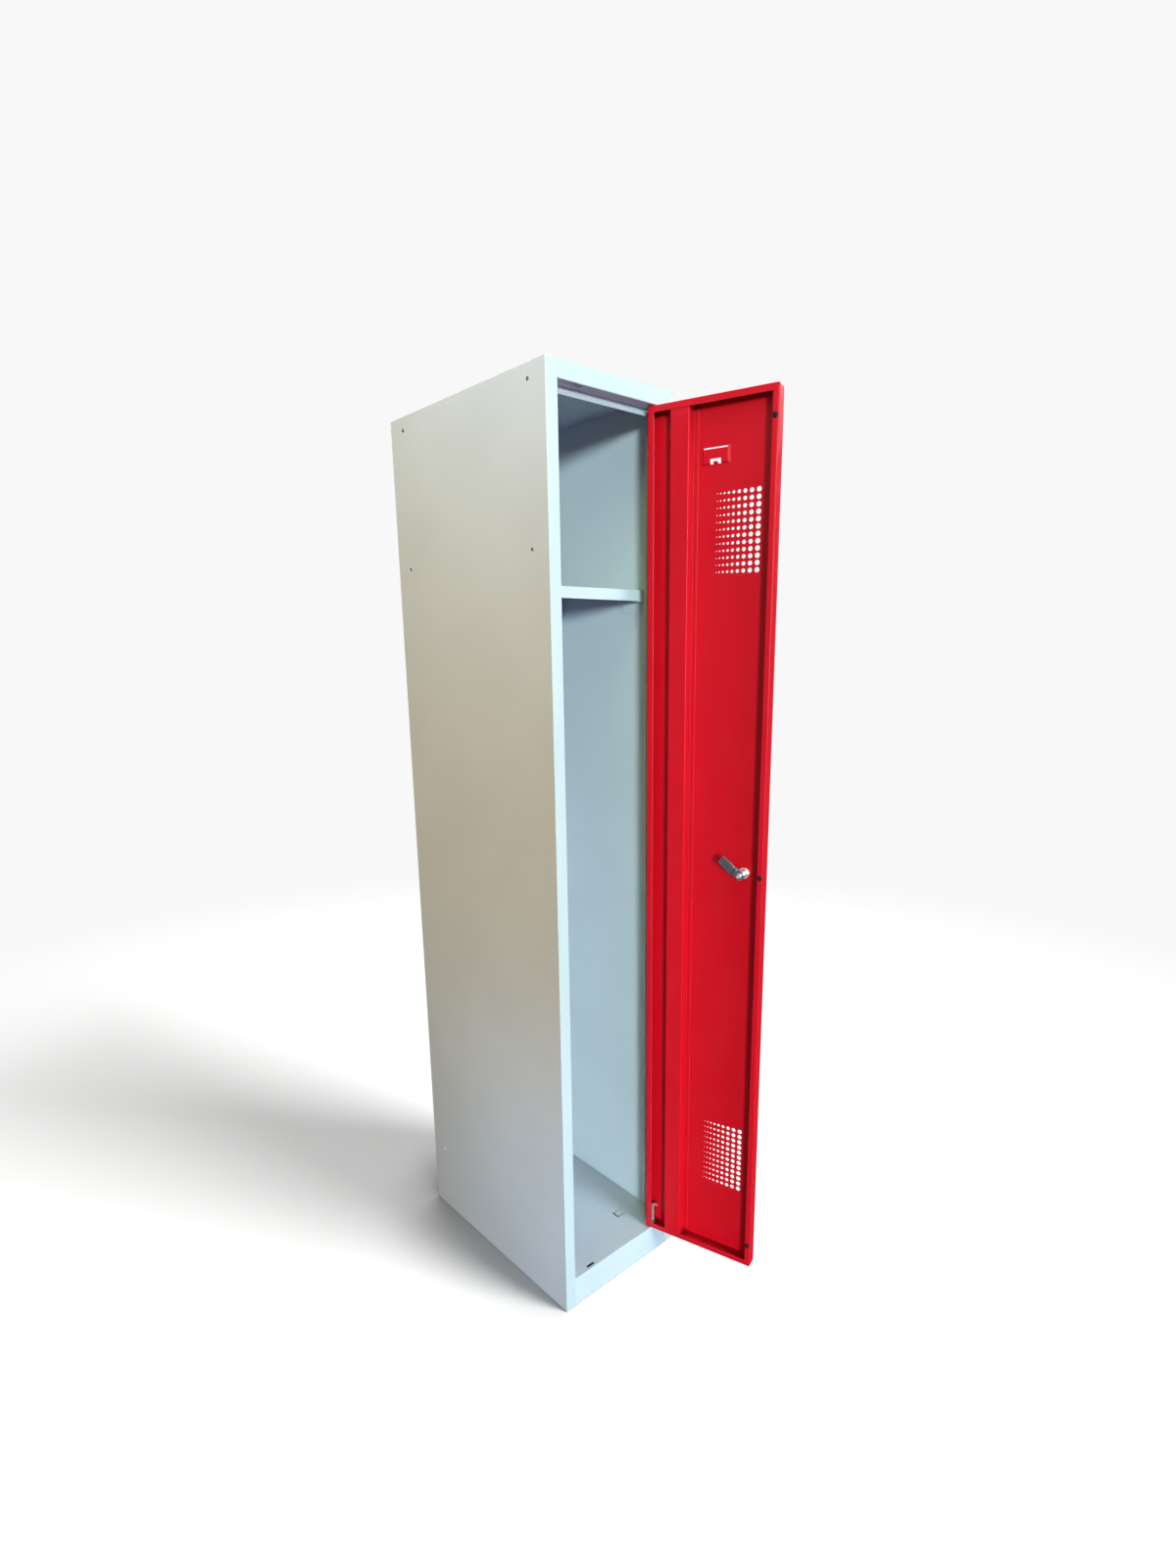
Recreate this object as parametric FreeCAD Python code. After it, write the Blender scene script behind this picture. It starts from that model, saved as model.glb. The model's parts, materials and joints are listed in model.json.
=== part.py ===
"""Single-door steel clothes locker with its door standing open.

Millimetres, +Z up. The origin is the middle of the footprint on the floor, the front faces -Y
and +X is to the right of someone facing the door, where the hinge is.
"""
import FreeCAD
import Part
import math
import os

Vector = FreeCAD.Vector

# Cabinet, all of folded sheet
height = 1800.0
width = 300.0
depth = 500.0
sheet = 1.0
bend_inside = 0.6
stile_width = 25.0
top_rail_height = 30.0
plinth_height = 65.0
jamb_depth = 30.0
stop_flange = 12.0
rear_flange = 15.0
roof_seat = 14.0
foot_flange = 20.0
plinth_foot = 20.0
weld_flange = 15.0
panel_fit = 0.2

# Holes that join neighbouring lockers, and holes in the feet
join_hole = 7.0
join_hole_inset = 47.0
join_hole_low = 157.0
join_hole_middle_drop = 291.0
join_hole_top_drop = 25.0
foot_hole = 9.0
foot_hole_inset = 50.0

# Slots for the rods of a three-point lock, and the lanced tab in the floor
rod_slot_length = 21.0
rod_slot_width = 6.5
rod_slot_x = -75.0
rod_slot_setback = 9.7
tab_x = 69.0
tab_length = 21.0
tab_setback = 73.0
tab_width = 19.5
tab_slit = 2.8

# Hat shelf and its brackets
shelf_drop = 345.0
shelf_edge = 21.0
shelf_setback = 70.0
shelf_hem = 10.0
shelf_clearance = 0.5
bracket_length = 60.0
bracket_leg = 22.0
bracket_seat = 15.0
bracket_sheet = 1.5

# Coat rail and its cups
rail_diameter = 18.0
rail_wall = 1.2
rail_setback = 326.0
rail_drop = 13.0
cup_depth = 14.0
cup_wall = 1.5
cup_arm = 5.0
cup_clearance = 0.3

# Door pan
door_gap = 2.5
door_depth = 25.0
door_bend_inside = 1.0
hinge_lip = 13.0
free_lip = 11.0
end_lip = 12.0
door_open_angle = 106.2

# Door stiffener, a hat section measured from the hinge edge
stiffener_start = 45.0
stiffener_width = 37.0
stiffener_flange = 10.0
stiffener_end_gap = 1.5

# Card holder pressed into the door's skin
card_start = 98.9
card_width = 52.0
card_height = 29.0
card_drop = 79.5
card_press = 3.0
card_flank_angle = 45.0
card_slot = 3.2
notch_width = 20.5
notch_height = 9.5
tongue_width = 8.5
tongue_height = 4.8

# Ventilation holes, which shrink and crowd towards the hinge
vent_columns = 9
vent_rows = 12
vent_inset = 38.8
vent_end = 158.0
vent_row_pitch = 12.2
vent_column_pitch = 13.2
vent_pitch_step = 1.0
vent_diameter = 9.5
vent_diameter_step = 0.95
vent_sides = 8

# Hinge pins and bushes
hinge_inset = 8.3
hinge_setback = 7.2
pin_diameter = 6.0
pin_clearance = 0.05
pin_head = 10.0
pin_head_height = 2.0
pin_collar = 8.8
pin_collar_height = 1.0
pin_engagement = 5.0
bush_wall = 1.3
bush_flange = 10.4
bush_flange_height = 1.0
bush_length = 6.0
guide_height = 7.5
lower_pin_length = 61.0
lower_pin_engagement = 10.0
lower_pin_collar_height = 2.5
lower_pin_bend = 5.0
lower_pin_leg = 11.0

# Rubber buffers on the free-side lip
buffer_diameter = 9.0
buffer_round = 2.0
buffer_stem = 5.0
buffer_fit = 0.05
buffer_bulb = 6.4
buffer_bulb_height = 3.0
buffer_end = 50.0
buffer_gap = 0.3

# Cam lock
lock_inset = 45.0
lock_head = 21.0
lock_head_height = 2.5
lock_head_round = 1.0
barrel_diameter = 16.0
barrel_flats = 13.6
barrel_length = 26.0
barrel_fit = 0.1
nut_flats = 20.0
nut_height = 6.0
plug_diameter = 10.9
plug_clearance = 0.05
plug_recess = 0.3
key_slot_length = 6.5
key_slot_width = 2.0
key_slot_depth = 10.0
drive_square = 7.0
cam_width = 17.5
cam_length = 47.0
cam_thickness = 2.5
cam_crank_start = 10.5
cam_crank_end = 16.5
cam_offset = 5.7
cam_corner = 3.0
cam_gap = 0.3
cam_rest_angle = 40.0
cam_washer = 10.0
cam_washer_height = 1.0
cam_bolt = 5.0
cam_bolt_flats = 8.0
cam_bolt_head = 3.5
cam_bolt_depth = 10.0

# Places worked out from the sizes above
side = width / 2
inner_side = side - sheet
front = -depth / 2
back = depth / 2
half_sheet = sheet / 2
bend_outside = bend_inside + sheet
opening_half = side - stile_width
butt_half = opening_half + bend_outside
rail_underside = height - top_rail_height
rail_stop_foot = rail_underside - stop_flange
clear_of_stop = front + jamb_depth + 2 * sheet
back_face = back - 2 * sheet
shelf_top = height - shelf_drop
shelf_seat = shelf_top - shelf_edge
rail_y = front + rail_setback
rail_z = shelf_seat - rail_drop
hinge_edge = opening_half - door_gap
free_edge = -hinge_edge
door_bottom = plinth_height + door_gap
door_top = rail_underside - door_gap
door_middle = (door_bottom + door_top) / 2
hinge_x = hinge_edge - hinge_inset
hinge_y = front + hinge_setback
lip_y = front + door_depth
lock_x = free_edge + lock_inset
pin_bore = pin_diameter + 2 * pin_clearance
bush_radius = pin_bore / 2 + bush_wall
barrel_hole = barrel_diameter + 2 * barrel_fit
barrel_end = front + barrel_length
buffer_x = free_edge + free_lip / 2
cam_face = barrel_end + cam_gap

ALONG_X = Vector(1, 0, 0)
ALONG_Y = Vector(0, 1, 0)
ALONG_Z = Vector(0, 0, 1)


def box(x0, x1, y0, y1, z0, z1):
    """Box between two corners."""
    return Part.makeBox(x1 - x0, y1 - y0, z1 - z0, Vector(x0, y0, z0))


def rod(x, y, z, direction, diameter, length):
    """Round bar that starts at a point."""
    return Part.makeCylinder(diameter / 2, length, Vector(x, y, z), direction)


def on_hinge(z, diameter, length):
    """Round bar on the hinge axis, upwards from a height."""
    return rod(hinge_x, hinge_y, z, ALONG_Z, diameter, length)


def on_lock(y, diameter, length):
    """Round bar on the lock's axis, backwards from a depth."""
    return rod(lock_x, y, door_middle, ALONG_Y, diameter, length)


def lock_block(half_x, half_z, y0, y1):
    """Block centred on the lock's axis."""
    return box(lock_x - half_x, lock_x + half_x, y0, y1, door_middle - half_z, door_middle + half_z)


def joined(first, others):
    """One solid from touching pieces, with no seams left on its faces."""
    return first.fuse(others).removeSplitter()


def mirrored(shape):
    """The same piece on the other side of the locker."""
    return shape.mirror(Vector(0, 0, 0), ALONG_X)


def offset_curve(path, shift, radius, place):
    """Edges beside a path at a distance to its left, rounded at its bends, and their two ends."""
    directions = []
    for (a0, b0), (a1, b1) in zip(path, path[1:]):
        run = math.hypot(a1 - a0, b1 - b0)
        directions.append(((a1 - a0) / run, (b1 - b0) / run))
    da, db = directions[0]
    start = place(path[0][0] - db * shift, path[0][1] + da * shift)
    last = start
    edges = []
    for (a, b), (da, db), (ea, eb) in zip(path[1:], directions, directions[1:]):
        turn = math.copysign(1.0, da * eb - db * ea)
        reach = radius * math.tan(math.acos(da * ea + db * eb) / 2)
        centre = (a - da * reach - db * radius * turn, b - db * reach + da * radius * turn)
        middle = math.hypot(a - centre[0], b - centre[1])
        share = (radius - shift * turn) / middle
        bend_start = place(a - da * reach - db * shift, b - db * reach + da * shift)
        bend_middle = place(centre[0] + (a - centre[0]) * share, centre[1] + (b - centre[1]) * share)
        bend_end = place(a + ea * reach - eb * shift, b + eb * reach + ea * shift)
        edges.append(Part.LineSegment(last, bend_start).toShape())
        edges.append(Part.Arc(bend_start, bend_middle, bend_end).toShape())
        last = bend_end
    da, db = directions[-1]
    end = place(path[-1][0] - db * shift, path[-1][1] + da * shift)
    edges.append(Part.LineSegment(last, end).toShape())
    return edges, start, end


def folded(path, place, sweep, thickness=sheet):
    """Folded sheet: the path is the middle of its section, which is swept straight."""
    half = thickness / 2
    radius = bend_inside + half
    left, left_start, left_end = offset_curve(path, half, radius, place)
    right, right_start, right_end = offset_curve(path, -half, radius, place)
    start = Part.LineSegment(left_start, right_start).toShape()
    end = Part.LineSegment(left_end, right_end).toShape()
    outline = Part.Wire(Part.__sortEdges__(left + right + [start, end]))
    return Part.Face(outline).extrude(sweep)


def in_plan(z):
    """Places section points in plan, as x and y."""
    return lambda x, y: Vector(x, y, z)


def in_side(x):
    """Places section points in side view, as y and z."""
    return lambda y, z: Vector(x, y, z)


def in_front(y):
    """Places section points in front view, as x and z."""
    return lambda x, z: Vector(x, y, z)


def rounded_box(corners, radius, keep_bottom_sharp=False):
    """Box with rounded edges, all of them or all but those of its open bottom."""
    shape = box(*corners)
    bottom = corners[4]
    edges = shape.Edges
    if keep_bottom_sharp:
        edges = [edge for edge in edges if edge.BoundBox.ZMax > bottom + radius / 2]
    return shape.makeFillet(radius, edges)


def inside_corners(corners, wall):
    """Corners of the space inside a box with walls."""
    x0, x1, y0, y1, z0, z1 = corners
    return x0 + wall, x1 - wall, y0 + wall, y1 - wall, z0 + wall, z1 - wall


def obround(x, y, z0, z1, length, across):
    """Upright slot with round ends, long in X."""
    straight = (length - across) / 2
    middle = box(x - straight, x + straight, y - across / 2, y + across / 2, z0, z1)
    ends = [rod(x + shift, y, z0, ALONG_Z, across, z1 - z0) for shift in (-straight, straight)]
    return joined(middle, ends)


def prism(sides, radius, centre, length):
    """Regular prism along Y that starts at a point."""
    points = []
    for index in range(sides + 1):
        angle = 2 * math.pi * index / sides
        points.append(centre + Vector(radius * math.cos(angle), 0, radius * math.sin(angle)))
    return Part.Face(Part.makePolygon(points)).extrude(ALONG_Y * length)


def side_panel():
    """Left side: rear flange, wall, stile, jamb and stop flange in one, with roof seat and foot."""
    section = [
        (-side + rear_flange, back - half_sheet),
        (-side + half_sheet, back - half_sheet),
        (-side + half_sheet, front + half_sheet),
        (-opening_half - half_sheet, front + half_sheet),
        (-opening_half - half_sheet, front + jamb_depth + half_sheet),
        (-opening_half + stop_flange, front + jamb_depth + half_sheet),
    ]
    panel = folded(section, in_plan(0), ALONG_Z * height)
    flange_edge = -opening_half + stop_flange + sheet
    above = box(-butt_half, flange_edge, front - sheet, clear_of_stop, rail_underside, height + sheet)
    below = box(-butt_half, flange_edge, front - sheet, clear_of_stop, -sheet, plinth_height)
    corner = box(-opening_half, flange_edge, front, clear_of_stop, rail_stop_foot, rail_underside)
    panel = panel.cut([above, below, corner])
    seat = box(-side, -inner_side + roof_seat, clear_of_stop, back_face, height - 2 * sheet, height - sheet)
    foot = box(-side, -inner_side + foot_flange, clear_of_stop, back_face, 0, sheet)
    panel = joined(panel, [seat, foot])
    holes = []
    for y in (front + join_hole_inset, back - join_hole_inset):
        for z in (join_hole_low, height - join_hole_middle_drop, height - join_hole_top_drop):
            holes.append(rod(-side - sheet, y, z, ALONG_X, join_hole, 3 * sheet))
    for y in (front + foot_hole_inset, back - foot_hole_inset):
        holes.append(rod(-inner_side + foot_flange / 2, y, -sheet, ALONG_Z, foot_hole, 3 * sheet))
    return panel.cut(holes)


def wings(top):
    """The level sheet of the roof or floor from the front rail's ends to the side walls."""
    right = box(butt_half - sheet, inner_side, front + sheet, back_face, top - sheet, top)
    return [right, mirrored(right)]


def rod_slot(z):
    """Cutter for the slot of a lock rod, through a level sheet."""
    y = front + rod_slot_setback
    return obround(rod_slot_x, y, z - sheet, z + 2 * sheet, rod_slot_length, rod_slot_width)


def bush_hole(z):
    """Cutter for the seat of a hinge bush, through a level sheet."""
    return on_hinge(z - sheet, 2 * (bush_radius + pin_clearance), 3 * sheet)


def roof_panel(sides):
    """Roof, top rail, rail underside and stop flange in one folding."""
    section = [
        (back_face - half_sheet, height - weld_flange),
        (back_face - half_sheet, height - half_sheet),
        (front + half_sheet, height - half_sheet),
        (front + half_sheet, rail_underside + half_sheet),
        (front + jamb_depth + half_sheet, rail_underside + half_sheet),
        (front + jamb_depth + half_sheet, rail_underside - stop_flange),
    ]
    panel = folded(section, in_side(-butt_half), ALONG_X * 2 * butt_half)
    panel = joined(panel, wings(height))
    notch_foot = rail_stop_foot - sheet
    notch = box(opening_half, butt_half + sheet, front, clear_of_stop, notch_foot, rail_underside)
    holes = [rod_slot(rail_underside), bush_hole(rail_underside)]
    return panel.cut([notch, mirrored(notch)] + holes + sides)


def floor_panel(sides):
    """Floor and plinth in one folding, with a lanced tab."""
    section = [
        (front + plinth_foot, half_sheet),
        (front + half_sheet, half_sheet),
        (front + half_sheet, plinth_height - half_sheet),
        (back_face - half_sheet, plinth_height - half_sheet),
        (back_face - half_sheet, plinth_height - weld_flange),
    ]
    panel = folded(section, in_side(-butt_half), ALONG_X * 2 * butt_half)
    flange_foot = plinth_height - weld_flange
    flange = box(inner_side - sheet, inner_side, clear_of_stop, back_face, flange_foot, plinth_height)
    panel = joined(panel, wings(plinth_height) + [flange, mirrored(flange)])
    under = plinth_height - 2 * sheet
    over = plinth_height + sheet
    tab_front = front + tab_setback
    tab_back = tab_front + tab_width
    slits = [
        box(tab_x, tab_x + tab_slit, tab_front, tab_back, under, over),
        box(tab_x, tab_x + tab_length, tab_front, tab_front + tab_slit, under, over),
        box(tab_x, tab_x + tab_length, tab_back - tab_slit, tab_back, under, over),
    ]
    floor = plinth_height - sheet
    return panel.cut(slits + [rod_slot(floor), bush_hole(floor)] + sides)


def back_panel():
    """Flat sheet that lies against the side panels' rear flanges."""
    half = inner_side - bend_inside - panel_fit
    return box(-half, half, back_face, back - sheet, sheet, height - sheet)


def shelf():
    """Tray with its edges turned down and a hem along its front edge."""
    half = inner_side - shelf_clearance
    start = front + shelf_setback
    end = back_face - shelf_clearance
    outside = rounded_box((-half, half, start, end, shelf_seat, shelf_top), bend_outside, True)
    inner_half = half - sheet
    low = shelf_seat - sheet
    hollow = (-inner_half, inner_half, start + sheet, end - sheet, low, shelf_top - sheet)
    tray = outside.cut(rounded_box(hollow, bend_inside, True))
    hem_half = half - bend_outside
    hem_end = start + shelf_hem
    hem = box(-hem_half, hem_half, start + half_sheet, hem_end, shelf_seat, shelf_seat + sheet)
    return joined(tray, [hem])


def shelf_bracket(start):
    """Angle on the right wall that the shelf's edges rest on."""
    middle = bracket_sheet / 2
    section = [
        (inner_side - middle, shelf_seat - bracket_leg),
        (inner_side - middle, shelf_seat - middle),
        (inner_side - bracket_seat, shelf_seat - middle),
    ]
    return folded(section, in_front(start), ALONG_Y * bracket_length, bracket_sheet)


def coat_rail():
    """Round tube from cup to cup."""
    half = inner_side - cup_wall - cup_clearance
    outside = rod(-half, rail_y, rail_z, ALONG_X, rail_diameter, 2 * half)
    return outside.cut(rod(-half, rail_y, rail_z, ALONG_X, rail_diameter - 2 * rail_wall, 2 * half))


def cradle(start, length, radius, arm):
    """Solid with the section of a U, round below and open upwards."""
    end = start + length
    near = rail_y - radius
    far = rail_y + radius
    body = rod(start, rail_y, rail_z, ALONG_X, 2 * radius, length)
    lower = body.common(box(start, end, near, far, rail_z - radius, rail_z))
    return joined(lower, [box(start, end, near, far, rail_z, rail_z + arm)])


def rail_cup():
    """Cup on the right wall that the coat rail drops into."""
    inside = rail_diameter / 2 + cup_clearance
    start = inner_side - cup_depth
    outer = cradle(start, cup_depth, inside + cup_wall, cup_arm)
    return outer.cut(cradle(start - cup_wall, cup_depth, inside, 2 * cup_arm))


def hinge_bush(flange_z, sleeve_z):
    """Bush on the hinge axis: a flange above or below its sleeve, with the pin's bore through both."""
    flange = on_hinge(flange_z, bush_flange, bush_flange_height)
    sleeve = on_hinge(sleeve_z, 2 * bush_radius, bush_length)
    bore_length = bush_length + bush_flange_height + 2 * sheet
    bore = on_hinge(min(flange_z, sleeve_z) - sheet, pin_bore, bore_length)
    return joined(flange, [sleeve]).cut(bore)


def along_door(distance):
    """X of a place on the closed door, measured from its hinge edge."""
    return hinge_edge - distance


def card_form(start, end, shift, spread):
    """Block of the card holder between two depths, with flanks sloping in at both sides and below.

    The flanks start from the outline at the door's front face, at the depth shift and wider by spread.
    """
    slope = math.tan(math.radians(card_flank_angle))
    left = along_door(card_start + card_width)
    right = along_door(card_start)
    top = door_top - card_drop
    bottom = top - card_height
    near = (start - front - shift) / slope - spread
    far = (end - front - shift) / slope - spread
    return Part.makeWedge(left + near, start, bottom + near, bottom + far, left + far,
                          right - near, end, top, top, right - far)


def card_holder():
    """Solid of the pressed card holder with its top slot and notch, and the hollow behind it."""
    plate = front + card_press
    hollow = card_form(front - sheet, plate, 0, 0)
    fold = math.radians(card_flank_angle)
    pressed = card_form(front, plate + sheet, sheet, sheet * math.tan(fold / 2))
    flank = card_press / math.tan(fold)
    left = along_door(card_start + card_width) + flank
    right = along_door(card_start) - flank
    centre = (left + right) / 2
    top = door_top - card_drop
    bottom = top - card_height
    over = plate + 2 * sheet
    slot = box(left, right, front - sheet, over, top - card_slot, top)
    notch = box(centre - notch_width / 2, centre + notch_width / 2, front - sheet, over,
                bottom, bottom + notch_height)
    tongue = box(centre - tongue_width / 2, centre + tongue_width / 2, front - sheet, over,
                 bottom, bottom + tongue_height)
    return pressed.cut([hollow, slot, notch.cut(tongue)]), hollow


def vent_holes():
    """Cutters of both groups of ventilation holes, mirrored about the door's middle.

    Each is a prism with the area of the round hole, which keeps the pan's faces few.
    """
    cutters = []
    corner_reach = math.sqrt(2 * math.pi / (vent_sides * math.sin(2 * math.pi / vent_sides)))
    place = vent_inset
    for column in range(vent_columns):
        radius = corner_reach * (vent_diameter - vent_diameter_step * column) / 2
        for row in range(vent_rows):
            drop = vent_end + vent_row_pitch * row
            for z in (door_top - drop, door_bottom + drop):
                centre = Vector(free_edge + place, front - sheet, z)
                cutters.append(prism(vent_sides, radius, centre, 3 * sheet))
        place += vent_column_pitch - vent_pitch_step * column
    return cutters


def buffer_heights():
    """Heights of the rubber buffers on the free-side lip."""
    return {"lower": door_bottom + buffer_end, "middle": door_middle, "upper": door_top - buffer_end}


def door_panel():
    """Closed door pan: skin, returns and lips of one sheet, with its holes and card holder."""
    outside = (free_edge, hinge_edge, front, lip_y, door_bottom, door_top)
    hollow = rounded_box(inside_corners(outside, sheet), door_bend_inside)
    pan = rounded_box(outside, door_bend_inside + sheet).cut(hollow)
    mouth = box(free_edge + free_lip, hinge_edge - hinge_lip, lip_y - 2 * sheet, lip_y + sheet,
                door_bottom + end_lip, door_top - end_lip)
    holder, hollow_behind = card_holder()
    pan = joined(pan.cut([mouth, hollow_behind]), [holder])
    cutters = vent_holes()
    cutters.append(on_lock(front - sheet, barrel_hole, 3 * sheet))
    cutters.append(on_hinge(door_top - 2 * sheet, pin_bore, 3 * sheet))
    cutters.append(bush_hole(door_bottom))
    stem_hole = buffer_stem + 2 * buffer_fit
    for z in buffer_heights().values():
        cutters.append(rod(buffer_x, lip_y - 2 * sheet, z, ALONG_Y, stem_hole, 3 * sheet))
    return pan.cut(cutters)


def door_stiffener():
    """Hat section between the skin and the lips, with its ends tucked under the end lips."""
    start = along_door(stiffener_start + half_sheet)
    end = along_door(stiffener_start + stiffener_width - half_sheet)
    foot = front + sheet + half_sheet
    crown = lip_y - sheet - half_sheet
    section = [
        (start + stiffener_flange, foot),
        (start, foot),
        (start, crown),
        (end, crown),
        (end, foot),
        (end - stiffener_flange, foot),
    ]
    low = door_bottom + sheet + stiffener_end_gap
    high = door_top - sheet - stiffener_end_gap
    return folded(section, in_plan(low), ALONG_Z * (high - low))


def upper_hinge_pin():
    """Stud riveted through the door's top return, up into the bush in the top rail."""
    seat = door_top - sheet
    head = on_hinge(seat - pin_head_height, pin_head, pin_head_height)
    collar = on_hinge(door_top, pin_collar, pin_collar_height)
    shank = on_hinge(seat, pin_diameter, rail_underside + pin_engagement - seat)
    return joined(head, [collar, shank])


def lower_pin_guide():
    """Guide bush of the lower pin, seated in the door's bottom return."""
    flange = on_hinge(door_bottom + sheet, bush_flange, bush_flange_height)
    barrel = on_hinge(door_bottom, 2 * bush_radius, sheet + guide_height)
    bore = on_hinge(door_bottom - sheet, pin_bore, guide_height + 3 * sheet)
    return joined(flange, [barrel]).cut(bore)


def lower_hinge_pin():
    """Bent rod that drops through the guide into the floor's bush, with a leg to lift it by."""
    foot = plinth_height - lower_pin_engagement
    bend_z = foot + lower_pin_length - lower_pin_bend
    straight = on_hinge(foot, pin_diameter, lower_pin_length - lower_pin_bend)
    circle = Part.makeCircle(pin_diameter / 2, Vector(hinge_x, hinge_y, bend_z), ALONG_Z)
    bend_centre = Vector(hinge_x - lower_pin_bend, hinge_y, bend_z)
    bend = Part.Face(Part.Wire(circle)).revolve(bend_centre, -ALONG_Y, 90)
    leg_z = bend_z + lower_pin_bend
    leg_length = lower_pin_leg - lower_pin_bend
    leg = rod(bend_centre.x, hinge_y, leg_z, -ALONG_X, pin_diameter, leg_length)
    collar = on_hinge(door_bottom + sheet + guide_height, pin_collar, lower_pin_collar_height)
    return joined(straight, [bend, leg, collar])


def door_buffer(z):
    """Push-in rubber buffer: rounded head on the lip, stem through it and bulb behind it."""
    proud = jamb_depth - door_depth - buffer_gap
    head = rod(buffer_x, lip_y, z, ALONG_Y, buffer_diameter, proud)
    rim = [edge for edge in head.Edges if edge.BoundBox.YMin > lip_y + proud / 2]
    head = head.makeFillet(min(buffer_round, proud / 2), rim)
    stem = rod(buffer_x, lip_y - sheet, z, ALONG_Y, buffer_stem, sheet)
    bulb_end = Vector(buffer_x, lip_y - sheet - buffer_bulb_height, z)
    bulb = Part.makeCone(buffer_stem / 2, buffer_bulb / 2, buffer_bulb_height, bulb_end, ALONG_Y)
    return joined(head, [stem, bulb])


def lock_housing():
    """Threaded barrel with two flats and a round head on the door's outside, bored for the plug."""
    head = on_lock(front - lock_head_height, lock_head, lock_head_height)
    rim = [edge for edge in head.Edges if edge.BoundBox.YMax < front - lock_head_height / 2]
    head = head.makeFillet(lock_head_round, rim)
    barrel = on_lock(front, barrel_diameter, barrel_length)
    flats = lock_block(barrel_diameter / 2, barrel_flats / 2, front, barrel_end)
    bore_length = lock_head_height + barrel_length + 2 * sheet
    bore = on_lock(front - lock_head_height - sheet, plug_diameter + 2 * plug_clearance, bore_length)
    return joined(head, [barrel.common(flats)]).cut(bore)


def lock_nut():
    """Hexagon nut that clamps the housing to the door's skin."""
    seat = Vector(lock_x, front + sheet, door_middle)
    hexagon = prism(6, nut_flats / math.sqrt(3), seat, nut_height)
    return hexagon.cut(on_lock(front, barrel_hole, nut_height + 2 * sheet))


def lock_plug():
    """Plug with its keyway in front and a square drive behind, before it is turned to its rest place."""
    face = front - lock_head_height + plug_recess
    body = on_lock(face, plug_diameter, cam_face - cam_gap / 2 - face)
    drive_end = cam_face + cam_thickness - plug_clearance
    drive = lock_block(drive_square / 2, drive_square / 2, barrel_end, drive_end)
    keyway = lock_block(key_slot_width / 2, key_slot_length / 2, face - sheet, face + key_slot_depth)
    thread = on_lock(drive_end - cam_bolt_depth, cam_bolt, cam_bolt_depth + sheet)
    return joined(body, [drive]).cut([keyway, thread])


def lock_cam():
    """Cranked cam on the square drive, pointing to the hinge before it is turned to its rest place."""
    middle = cam_face + cam_thickness / 2
    half = cam_width / 2
    section = [
        (lock_x - half, middle),
        (lock_x + cam_crank_start, middle),
        (lock_x + cam_crank_end, middle + cam_offset),
        (lock_x + cam_length, middle + cam_offset),
    ]
    low = door_middle - half
    bar = folded(section, in_plan(low), ALONG_Z * cam_width, cam_thickness)
    deep = cam_face + cam_thickness + cam_offset + sheet
    blank = box(lock_x, lock_x + cam_length, cam_face - sheet, deep, low, low + cam_width)
    far_edges = [edge for edge in blank.Edges if edge.BoundBox.XMin > lock_x + half]
    blank = blank.makeFillet(cam_corner, [edge for edge in far_edges if edge.BoundBox.YLength > sheet])
    hub = on_lock(cam_face - sheet, cam_width, deep - cam_face + sheet)
    square = drive_square / 2 + plug_clearance
    hole = lock_block(square, square, cam_face - sheet, deep)
    return bar.common(joined(blank, [hub])).cut(hole)


def cam_bolt_washer():
    """Washer between the cam and its bolt."""
    face = cam_face + cam_thickness
    ring = on_lock(face, cam_washer, cam_washer_height)
    return ring.cut(on_lock(face, cam_bolt + 2 * plug_clearance, cam_washer_height))


def cam_bolt_piece():
    """Hexagon-head bolt that holds the cam on the plug."""
    face = cam_face + cam_thickness + cam_washer_height
    seat = Vector(lock_x, face, door_middle)
    head = prism(6, cam_bolt_flats / math.sqrt(3), seat, cam_bolt_head)
    start = cam_face + cam_thickness - cam_bolt_depth
    shank = on_lock(start, cam_bolt - 2 * plug_clearance, face - start)
    return joined(head, [shank])


def turned(shape):
    """A piece of the lock, turned about the lock's axis to the cam's rest place."""
    piece = shape.copy()
    piece.rotate(Vector(lock_x, front, door_middle), -ALONG_Y, cam_rest_angle)
    return piece


def opened(shape):
    """A piece of the closed door, swung open about the hinge axis."""
    piece = shape.copy()
    piece.rotate(Vector(hinge_x, hinge_y, 0), ALONG_Z, door_open_angle)
    return piece


def cabinet_pieces():
    """Every piece that stands still."""
    left = side_panel()
    right = mirrored(left)
    pieces = {
        "left_side_panel": left,
        "right_side_panel": right,
        "back_panel": back_panel(),
        "roof_panel": roof_panel([left, right]),
        "floor_panel": floor_panel([left, right]),
        "hat_shelf": shelf(),
        "coat_rail": coat_rail(),
        "right_rail_cup": rail_cup(),
        "left_rail_cup": mirrored(rail_cup()),
        "upper_hinge_bush": hinge_bush(rail_underside - bush_flange_height, rail_underside),
        "lower_hinge_bush": hinge_bush(plinth_height, plinth_height - bush_length),
    }
    rows = {"front": front + shelf_setback, "rear": back_face - shelf_clearance - bracket_length}
    for row, start in rows.items():
        bracket = shelf_bracket(start)
        pieces[row + "_right_shelf_bracket"] = bracket
        pieces[row + "_left_shelf_bracket"] = mirrored(bracket)
    return pieces


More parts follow.
